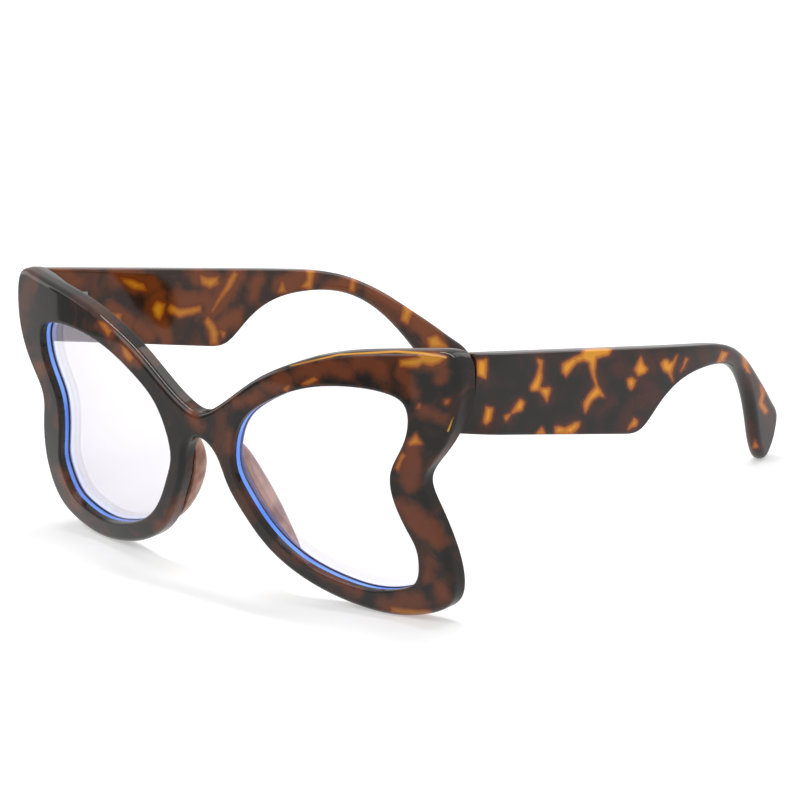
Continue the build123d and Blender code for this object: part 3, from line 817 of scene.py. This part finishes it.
def temple_piece(side, spacing=0.42, face_steps=30, round_steps=6, end_rings=4):
    """A temple: sections from its upper to its lower edge, bent inwards, with the leaf's recess cut in.

    A section goes down the outer face, rounds the lower edge, goes up the inner face and rounds the upper
    edge. The first section is a few rings that round the end. Near the joint the points are sheared on to
    the slanted joint line, and the outer corners are drawn in to meet the end piece's side, by
    (foot * down^4 + top * (1 - 3 down)^2) * near^2.
    """
    upper, upper_in, lower, lower_in = temple_sections(spacing)
    to_wall, to_face = quarter(round_steps)
    hook_share = smooth_rise(upper[:, 0], HOOK_ROUND_START, HOOK_ROUND_END)
    size = (TEMPLE_EDGE_ROUND + (HOOK_EDGE_ROUND - TEMPLE_EDGE_ROUND) * hook_share)[:, None]
    rows = []

    def add(flat, depth):
        rows.append(np.stack([-depth * np.ones(len(flat)), flat[:, 0], flat[:, 1]], axis=1))

    for share in np.linspace(0, 1, face_steps + 1):
        add((upper + upper_in * size) * (1 - share) + (lower + lower_in * size) * share, 0.0)
    for back, fall in to_wall:
        add(lower + lower_in * size * back, size[:, 0] * fall)
    for back, fall in to_face:
        add(lower + lower_in * size * back, TEMPLE_THICKNESS - size[:, 0] * fall)
    for share in np.linspace(0, 1, face_steps + 1):
        flat = (lower + lower_in * size) * (1 - share) + (upper + upper_in * size) * share
        add(flat, TEMPLE_THICKNESS)
    for back, fall in to_wall:
        add(upper + upper_in * size * back, TEMPLE_THICKNESS - size[:, 0] * fall)
    for back, fall in to_face:
        add(upper + upper_in * size * back, size[:, 0] * fall)
    grid = np.stack(rows, axis=1)
    outwards = grid[0] - grid[0].mean(axis=0)
    outwards /= np.linalg.norm(outwards, axis=1)[:, None]
    ends = []
    for angle in np.linspace(0, pi / 2, end_rings):
        ring = grid[0] - outwards * TEMPLE_END_ROUND * (1 - sin(angle))
        ring[:, 1] = TEMPLE_END_ROUND * (1 - cos(angle))
        ends.append(ring)
    grid = np.concatenate([ends, grid[1:]])
    down = np.clip((TEMPLE_TOP - grid[..., 2]) / (TEMPLE_DROP * LOWER_EDGE_SHARES[-1][1]), 0, 1)
    near_end = np.clip(1 - grid[..., 1] / END_TAPER_REACH, 0, 1)
    outer = 1 + grid[..., 0] / TEMPLE_THICKNESS
    drawn_in = END_TAPER_FOOT * down ** 4 + END_TAPER_TOP * np.maximum(1 - 3 * down, 0) ** 2
    grid[..., 0] -= drawn_in * near_end ** 2 * outer
    shear = np.clip(1 - grid[..., 1] / LEAF_LENGTH, 0, 1)
    grid[..., 1] += (TEMPLE_END_GAP - JOINT_ADVANCE + grid[..., 0] * tan(radians(JOINT_SLANT))) * shear
    sections, around = grid.shape[:2]
    faces = strip_faces(sections, around, sections - 1, 0, around)
    faces.append(list(range(around))[::-1])
    points = from_joint(bend_inwards(grid.reshape(-1, 3))) * [side, 1, 1]
    piece = mesh_piece("temple_blade_left" if side > 0 else "temple_blade_right", points, faces)
    cut_recess(piece, side)
    return piece


def cut_recess(piece, side):
    """Cuts the hinge leaf's recess out of a temple with a box that reaches in from its inner face."""
    hinge_x = -(TEMPLE_THICKNESS + HINGE_INSET)
    hinge_y = hinge_x * tan(radians(JOINT_SLANT)) + HINGE_REACH / cos(radians(JOINT_SLANT))
    start = hinge_y - BARREL_RADIUS - LEAF_CLEARANCE
    length = LEAF_LENGTH + 2 * LEAF_CLEARANCE
    half_height = LEAF_HEIGHT / 2 + LEAF_CLEARANCE
    low = np.array([-2 * TEMPLE_THICKNESS, start, -half_height])
    high = np.array([LEAF_THICKNESS - TEMPLE_THICKNESS, start + length, half_height])
    corners = np.array([[x, y, z] for x in (0, 1) for y in (0, 1) for z in (0, 1)])
    points = from_joint(low + (high - low) * corners) * [side, 1, 1]
    faces = [[0, 1, 3, 2], [4, 6, 7, 5], [0, 4, 5, 1], [2, 3, 7, 6], [0, 2, 6, 4], [1, 5, 7, 3]]
    cutter = mesh_piece("recess_cutter", points, faces)
    cut = piece.modifiers.new("recess", "BOOLEAN")
    cut.operation = "DIFFERENCE"
    cut.solver = "EXACT"
    cut.object = cutter
    depsgraph = bpy.context.evaluated_depsgraph_get()
    mesh = bpy.data.meshes.new_from_object(piece.evaluated_get(depsgraph))
    piece.modifiers.clear()
    piece.data = mesh
    bpy.data.objects.remove(cutter)


class Shade:
    """A number in a material: wraps a socket, and arithmetic on it adds Math nodes."""

    def __init__(self, tree, socket):
        self.tree = tree
        self.socket = socket

    def maths(self, operation, *values):
        return add_node(self.tree, "ShaderNodeMath", {"operation": operation}, [self, *values])

    def __add__(self, other):
        return self.maths("ADD", other)

    def __mul__(self, other):
        return self.maths("MULTIPLY", other)

    def __sub__(self, other):
        return self.maths("SUBTRACT", other)

    def __rsub__(self, other):
        return self.maths("MULTIPLY", -1.0).maths("ADD", other)

    __radd__ = __add__
    __rmul__ = __mul__

    def clip(self):
        return self.maths("MAXIMUM", 0.0).maths("MINIMUM", 1.0)

    def ramp(self, low, high):
        """0 below low, 1 above high and a smooth rise between."""
        settings = {"interpolation_type": "SMOOTHSTEP"}
        values = {"Value": self, "From Min": low, "From Max": high}
        return add_node(self.tree, "ShaderNodeMapRange", settings, values)


def add_node(tree, kind, settings=None, values=None, output=0):
    """Adds a node, makes its settings, then fills its sockets with values or links."""
    node = tree.nodes.new(kind)
    for name, value in (settings or {}).items():
        setattr(node, name, value)
    pairs = enumerate(values) if isinstance(values, list) else (values or {}).items()
    for key, value in pairs:
        if isinstance(value, Shade):
            tree.links.new(value.socket, node.inputs[key])
        else:
            node.inputs[key].default_value = value
    return Shade(tree, node.outputs[output])


def mix_colours(tree, share, one, other):
    """One colour turning into another as a share goes from 0 to 1.

    Socket names repeat for each data type, so the colours' sockets are given by their places.
    """
    return add_node(tree, "ShaderNodeMix", {"data_type": "RGBA"}, {0: share, 6: one, 7: other}, 2)


def new_material(name):
    """A material with an empty node tree, and the tree."""
    material = bpy.data.materials.new(name)
    material.use_nodes = True
    tree = material.node_tree
    tree.nodes.clear()
    return material, tree


def set_surface(tree, surface, kind="ShaderNodeOutputMaterial"):
    """Makes a shader the surface of the tree's material, or of the world."""
    output = tree.nodes.new(kind)
    tree.links.new(surface.socket, output.inputs["Surface"])


def object_place(tree):
    """The place on the object, in metres."""
    return add_node(tree, "ShaderNodeTexCoord", output="Object")


def stored(tree, name):
    """A number that is stored at the mesh's points."""
    return add_node(tree, "ShaderNodeAttribute", {"attribute_name": name}, output="Fac")


def noise(tree, where, scale, detail=2.0, roughness=0.5, distortion=0.0):
    """Smooth noise from 0 to 1, with scale waves to a metre."""
    values = {"Vector": where, "Scale": scale, "Detail": detail, "Roughness": roughness,
              "Distortion": distortion}
    return add_node(tree, "ShaderNodeTexNoise", None, values)


def plain(tree, values):
    """A Principled shader with values or links in some of its sockets."""
    return add_node(tree, "ShaderNodeBsdfPrincipled", None, values)


def white_glow(tree, strength):
    """An even white glow of a strength."""
    return add_node(tree, "ShaderNodeEmission", None, {"Color": WHITE, "Strength": strength})


def tortoiseshell(name, soft, ground, clouds, flecks, fleck_middles):
    """Polished tortoiseshell: near-black ground, red-brown clouds, and amber flecks with dark red borders.

    The flecks' and clouds' edges are where their depths, moved by noise, pass zero. Softness widens them.
    Faint clouds of noise lie between the others. Amber lines on edges are painted highlights.
    """
    material, tree = new_material(name)
    place = object_place(tree)
    fleck = stored(tree, "fleck_depth") + (noise(tree, place, 500.0) - 0.5) * WOBBLE_PX
    cloud = stored(tree, "cloud_depth") + (noise(tree, place, 260.0, 3.0) - 0.5) * (9 * WOBBLE_PX)
    haze = noise(tree, place, 110.0, 3.0, 0.55, 0.8).ramp(0.46, 0.72)
    colour = mix_colours(tree, haze * 0.5, ground, clouds)
    colour = mix_colours(tree, cloud.ramp(-7.0, 6.0), colour, clouds)
    colour = mix_colours(tree, fleck.ramp(-3.2 - soft, -0.4), colour, FLECK_BORDER)
    colour = mix_colours(tree, fleck.ramp(-0.9 - soft, 0.5 + soft), colour, flecks)
    colour = mix_colours(tree, fleck.ramp(0.8, 3.4 + soft), colour, fleck_middles)
    # Painted highlight: amber lines on the edges that face the view.
    colour = mix_colours(tree, stored(tree, "highlight_depth").ramp(-0.9, 0.5), colour, HIGHLIGHT_AMBER)
    ripple = noise(tree, place, 160.0)
    bump = add_node(tree, "ShaderNodeBump", None, {"Strength": 0.02, "Distance": 0.0005, "Height": ripple})
    set_surface(tree, plain(tree, {"Base Color": colour, "Roughness": 0.05, "IOR": 1.5, "Normal": bump}))
    return material


def pad_plastic():
    """Translucent red-brown plastic, paler and pinker where clouds let the light through."""
    material, tree = new_material("pad_plastic")
    place = object_place(tree)
    clouds = noise(tree, place, 150.0).ramp(0.35, 0.65)
    colour = mix_colours(tree, clouds, (0.28, 0.115, 0.070, 1), (0.58, 0.31, 0.21, 1))
    set_surface(tree, plain(tree, {"Base Color": colour, "Roughness": 0.16, "IOR": 1.5}))
    return material


def lens_glass():
    """A clear lens with a coating that reflects a little violet, more towards grazing angles."""
    material, tree = new_material("lens_glass")
    facing = add_node(tree, "ShaderNodeLayerWeight", None, {"Blend": 0.5}, "Facing")
    clear = add_node(tree, "ShaderNodeBsdfTransparent", None, {"Color": (0.985, 0.982, 1.0, 1)})
    gloss = add_node(tree, "ShaderNodeBsdfGlossy", None, {"Color": (0.97, 0.91, 1.0, 1), "Roughness": 0.02})
    share = (facing * facing * 0.9 + 0.025).clip()
    set_surface(tree, add_node(tree, "ShaderNodeMixShader", None, [share, clear, gloss]))
    return material


def lens_edge_glint():
    """The ground edge: a painted glint, a glowing band of the coating's blue reflection, with dark painted
    borders.
    """
    material, tree = new_material("lens_edge_glint")
    place = object_place(tree)
    share = stored(tree, "edge_share")
    uneven = noise(tree, place, 70.0).ramp(0.3, 0.7)
    inside = share.maths("MINIMUM", 1.0 - share).ramp(0.06, 0.24)
    blue = mix_colours(tree, uneven, (0.10, 0.25, 0.90, 1), (0.22, 0.44, 1.0, 1))
    colour = mix_colours(tree, inside, (0.010, 0.014, 0.06, 1), blue)
    # The painted glint glows in its own colour.
    values = {"Base Color": colour, "Roughness": 0.3, "Emission Color": colour, "Emission Strength": 0.7}
    set_surface(tree, plain(tree, values))
    return material


def metal(name, colour, roughness):
    """Turned and satin-finished metal with a fine uneven sheen, a little darker where it's rougher."""
    material, tree = new_material(name)
    grain = noise(tree, object_place(tree), 2500.0)
    darker = (*(part * 0.82 for part in colour[:3]), 1)
    tint = mix_colours(tree, grain, colour, darker)
    values = {"Base Color": tint, "Metallic": 1.0, "Roughness": grain * 0.15 + roughness}
    set_surface(tree, plain(tree, values))
    return material


def ray_is(tree, kind):
    """1 for a ray of a kind, such as Camera, and 0 for any other."""
    return add_node(tree, "ShaderNodeLightPath", output=f"Is {kind} Ray")


def floor_material():
    """A white floor that shows only the object's shadow to the camera, and glows evenly further out."""
    material, tree = new_material("floor_white")
    distance = add_node(tree, "ShaderNodeVectorMath", {"operation": "LENGTH"}, [object_place(tree)], "Value")
    share = (distance.ramp(FLOOR_FADE_START, FLOOR_FADE_END) + FLOOR_GLOW_SHARE).clip()
    glowing = ray_is(tree, "Camera") * share
    matt = add_node(tree, "ShaderNodeBsdfDiffuse", None, {"Color": (0.9, 0.9, 0.9, 1)})
    seen = add_node(tree, "ShaderNodeMixShader", None, [glowing, matt, white_glow(tree, FLOOR_GLOW)])
    mirrored = white_glow(tree, REFLECTED_WHITE)
    set_surface(tree, add_node(tree, "ShaderNodeMixShader", None, [ray_is(tree, "Glossy"), seen, mirrored]))
    return material


def dark_card(steps=39):
    """A low dark wall in front, an arc about the object, which shows only as a reflection in it."""
    turn = np.radians(np.linspace(CARD_START, CARD_END, steps + 1))
    across, back = CARD_RADIUS * np.sin(turn), -CARD_RADIUS * np.cos(turn)
    foot = np.stack([across, back, np.full(steps + 1, CARD_LIFT)], axis=1)
    points = np.concatenate([foot, foot + [0, 0, CARD_HEIGHT]])
    faces = [[k, k + 1, k + steps + 2, k + steps + 1] for k in range(steps)]
    mesh = bpy.data.meshes.new("dark_card")
    mesh.from_pydata(points.tolist(), [], faces)
    card = new_object("dark_card", mesh)
    card.visible_camera = False
    card.visible_diffuse = False
    card.visible_shadow = False
    card.visible_transmission = False
    material, tree = new_material("card_dark")
    set_surface(tree, white_glow(tree, REFLECTED_DARK))
    mesh.materials.append(material)


def stage():
    """A white floor, a white surround that the camera and glossy surfaces see, and soft lamps."""
    mesh = bpy.data.meshes.new("floor")
    corners = [(x * FLOOR_REACH, y * FLOOR_REACH, 0) for x, y in ((-1, -1), (1, -1), (1, 1), (-1, 1))]
    mesh.from_pydata(corners, [], [(0, 1, 2, 3)])
    floor = new_object("floor", mesh)
    mesh.materials.append(floor_material())
    world = bpy.data.worlds.new("surround")
    world.use_nodes = True
    tree = world.node_tree
    tree.nodes.clear()
    reflected = ray_is(tree, "Glossy") + ray_is(tree, "Transmission")
    strength = ray_is(tree, "Camera") * BACKDROP_WHITE + reflected * REFLECTED_WHITE
    strength = strength.maths("MAXIMUM", AMBIENT_LIGHT)
    light = add_node(tree, "ShaderNodeBackground", None, {"Color": WHITE, "Strength": strength})
    set_surface(tree, light, "ShaderNodeOutputWorld")
    bpy.context.scene.world = world
    for name, place, width, depth, power in LAMPS:
        lamp = bpy.data.lights.new(name, "AREA")
        lamp.shape = "RECTANGLE"
        lamp.size = width
        lamp.size_y = depth
        lamp.energy = power
        holder = new_object(name, lamp)
        holder.location = place
        holder.rotation_euler = (-Vector(place)).to_track_quat("-Z", "Y").to_euler()


def camera():
    """The photograph's view: a long lens from the front left, a little above and slightly rolled."""
    right, top, back = view_axes()
    eye = Vector(np.array(VIEW_EYE) + [0, FRONT_Y, 0]) * MM
    turn = Matrix((right, top, back)).transposed()
    data = bpy.data.cameras.new("camera")
    data.sensor_fit = "HORIZONTAL"
    data.sensor_width = SENSOR_WIDTH
    data.lens = SENSOR_WIDTH * VIEW_FOCAL_PX / (2 * VIEW_MIDDLE_PX)
    holder = new_object("camera", data)
    holder.matrix_world = Matrix.Translation(eye) @ turn.to_4x4()
    bpy.context.scene.camera = holder


# One plastic in three copies with their own tones: the far temple's lighter, warmer ground and clouds are
# painted light, against the near temple's darker copy.
front_plastic = tortoiseshell(
    "front_plastic", soft=0.8, ground=(0.008, 0.006, 0.004, 1), clouds=(0.15, 0.034, 0.008, 1),
    flecks=(0.42, 0.125, 0.008, 1), fleck_middles=(0.62, 0.25, 0.010, 1))
near_plastic = tortoiseshell(
    "near_plastic", soft=0.2, ground=(0.010, 0.008, 0.006, 1), clouds=(0.060, 0.014, 0.006, 1),
    flecks=(0.55, 0.15, 0.004, 1), fleck_middles=(0.90, 0.36, 0.006, 1))
far_plastic = tortoiseshell(
    "far_plastic", soft=1.4, ground=(0.030, 0.013, 0.008, 1), clouds=(0.19, 0.045, 0.008, 1),
    flecks=(0.48, 0.145, 0.006, 1), fleck_middles=(0.66, 0.26, 0.010, 1))
pad_finish = pad_plastic()
glass = lens_glass()
painted_edge_glint = lens_edge_glint()
hinge_metal = metal("hinge_metal", (0.44, 0.42, 0.40, 1), 0.30)
screw_metal = metal("screw_metal", (0.70, 0.69, 0.67, 1), 0.2)

shell = front_piece()
lay_pattern(shell, FRONT_FLECKS_PX, FRONT_CLOUDS_PX, FRONT_HIGHLIGHTS_PX)
shell.data.materials.append(front_plastic)
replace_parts(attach(shell, "front"), "front_frame")

for side, word, plastic, flecks, clouds, lines in (
    (1, "left", near_plastic, OUTER_FLECKS_PX, OUTER_CLOUDS_PX, OUTER_HIGHLIGHTS_PX),
    (-1, "right", far_plastic, INNER_FLECKS_PX, INNER_CLOUDS_PX, []),
):
    glass_piece, on_edge = lens_piece(side)
    glass_piece.data.materials.append(glass)
    glass_piece.data.materials.append(painted_edge_glint)
    glass_piece.data.polygons.foreach_set("material_index", on_edge.astype(np.int32))
    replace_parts(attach(glass_piece, "front"), f"lens_{word}")
    pad = pad_piece(side)
    pad.data.materials.append(pad_finish)
    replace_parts(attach(pad, "front"), f"nose_pad_{word}")
    blade = temple_piece(side)
    lay_pattern(blade, flecks, clouds, lines)
    blade.data.materials.clear()
    blade.data.materials.append(plastic)
    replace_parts(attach(blade, f"{word}_temple"), f"temple_{word}")
    for node, finish in ((f"front_hinge_{word}", hinge_metal), (f"temple_hinge_{word}", hinge_metal),
                         (f"hinge_screw_{word}", screw_metal)):
        metal_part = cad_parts[node]
        metal_part.data.materials.clear()
        metal_part.data.materials.append(finish)

stage()
dark_card()
camera()
bpy.context.scene.view_settings.view_transform = "Standard"
